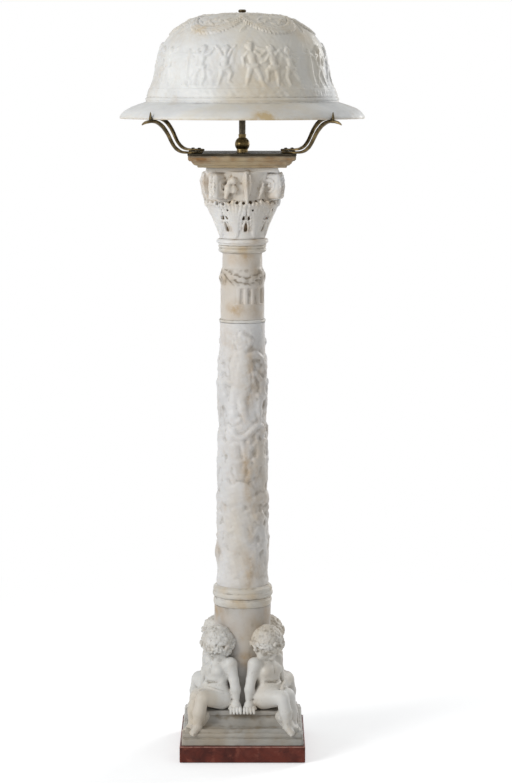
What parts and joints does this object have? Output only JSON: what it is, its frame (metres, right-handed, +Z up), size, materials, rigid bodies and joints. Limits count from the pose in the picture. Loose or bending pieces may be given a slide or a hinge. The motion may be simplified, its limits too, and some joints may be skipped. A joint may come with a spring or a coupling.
{
  "type": "floor lamp",
  "caption": "Carved alabaster floor lamp: a column on a square foot with seated children, a leafy capital, brass arms and a lift-off bell shade.",
  "frame": {"origin": "centre of the square footprint on the floor", "axes": "+Z up along the column, -Y the front, +X the viewer's right"},
  "size_m": [0.589, 0.5888, 1.8099],
  "materials": {
    "felt": "matt green baize",
    "red_marble": "polished dark red marble",
    "dark_bushing": "dark brown moulded bush",
    "steel": "dull zinc-plated steel",
    "arm_brass": "aged dark brass",
    "plate_brass": "aged dark brass with a dull film",
    "knop_brass": "cast brass, rubbed bright on the ridges",
    "stem_brass": "aged drawn brass tube",
    "holder_brass": "spun brass",
    "porcelain": "glazed white porcelain",
    "contact_brass": "plain brass sheet",
    "key_resin": "black-brown moulded resin",
    "bulb_metal": "bare rolled aluminium",
    "bulb_glass": "frosted glass",
    "shade_alabaster": "carved alabaster with tan stains",
    "knob_brass": "dark aged brass",
    "plinth_alabaster": "worn matt alabaster",
    "drum_alabaster": "honed alabaster",
    "ring_alabaster": "honed alabaster with ochre stains",
    "shaft_alabaster": "carved alabaster, dirt in the hollows",
    "neck_alabaster": "beige stained alabaster",
    "capital_alabaster": "carved alabaster, dirt in the hollows",
    "abacus_alabaster": "tan stained alabaster with brown spots",
    "figure_alabaster": "carved alabaster, rubbed smooth"
  },
  "bodies": {
    "column": {"abacus_slab": "abacus_alabaster", "arm_back_left": "arm_brass", "arm_back_right": "arm_brass", "arm_front_left": "arm_brass", "arm_front_right": "arm_brass", "arm_screws": "arm_brass", "base_nut": "steel", "base_washer": "steel", "bead_ring": "shaft_alabaster", "cable_gland": "dark_bushing", "capital": "capital_alabaster", "capital_ring": "capital_alabaster", "carved_shaft": "shaft_alabaster", "clamp_nut": "arm_brass", "drum_ring": "ring_alabaster", "felt_sheet": "felt", "figure_back_left": "figure_alabaster", "figure_back_right": "figure_alabaster", "figure_front_left": "figure_alabaster", "figure_front_right": "figure_alabaster", "fluted_drum": "neck_alabaster", "holder_core": "porcelain", "holder_cup": "holder_brass", "holder_liner": "contact_brass", "holder_ring": "holder_brass", "holder_shell": "holder_brass", "lower_drum": "drum_alabaster", "marble_foot": "red_marble", "neck_ring": "neck_alabaster", "plinth": "plinth_alabaster", "shaft_ring": "ring_alabaster", "stem_knop": "knop_brass", "stem_tube": "stem_brass", "tie_tube": "steel", "top_plate": "plate_brass"},
    "shade_body": {"shade": "shade_alabaster"},
    "crown": {"crown_knob": "knob_brass", "crown_washer": "steel", "crown_nut": "steel"},
    "bulb": {"bulb_cap": "bulb_metal", "bulb_glass": "bulb_glass"},
    "key": {"switch_key": "key_resin"}
  },
  "joints": [
    {"name": "shade_lift", "type": "slide", "parent": "column", "child": "shade_body", "axis": [0, 0, 1], "range_m": [0, 0.3]},
    {"name": "crown_knob_turn", "type": "hinge", "parent": "shade_body", "child": "crown", "pos_m": [0, 0, 1.8], "axis": [0, 0, 1], "continuous": true},
    {"name": "bulb_turn", "type": "hinge", "parent": "column", "child": "bulb", "pos_m": [0, 0, 1.65], "axis": [0, 0, 1], "continuous": true},
    {"name": "switch_key_turn", "type": "hinge", "parent": "column", "child": "key", "pos_m": [0.02, 0, 1.63013], "axis": [1, 0, 0], "continuous": true}
  ]
}
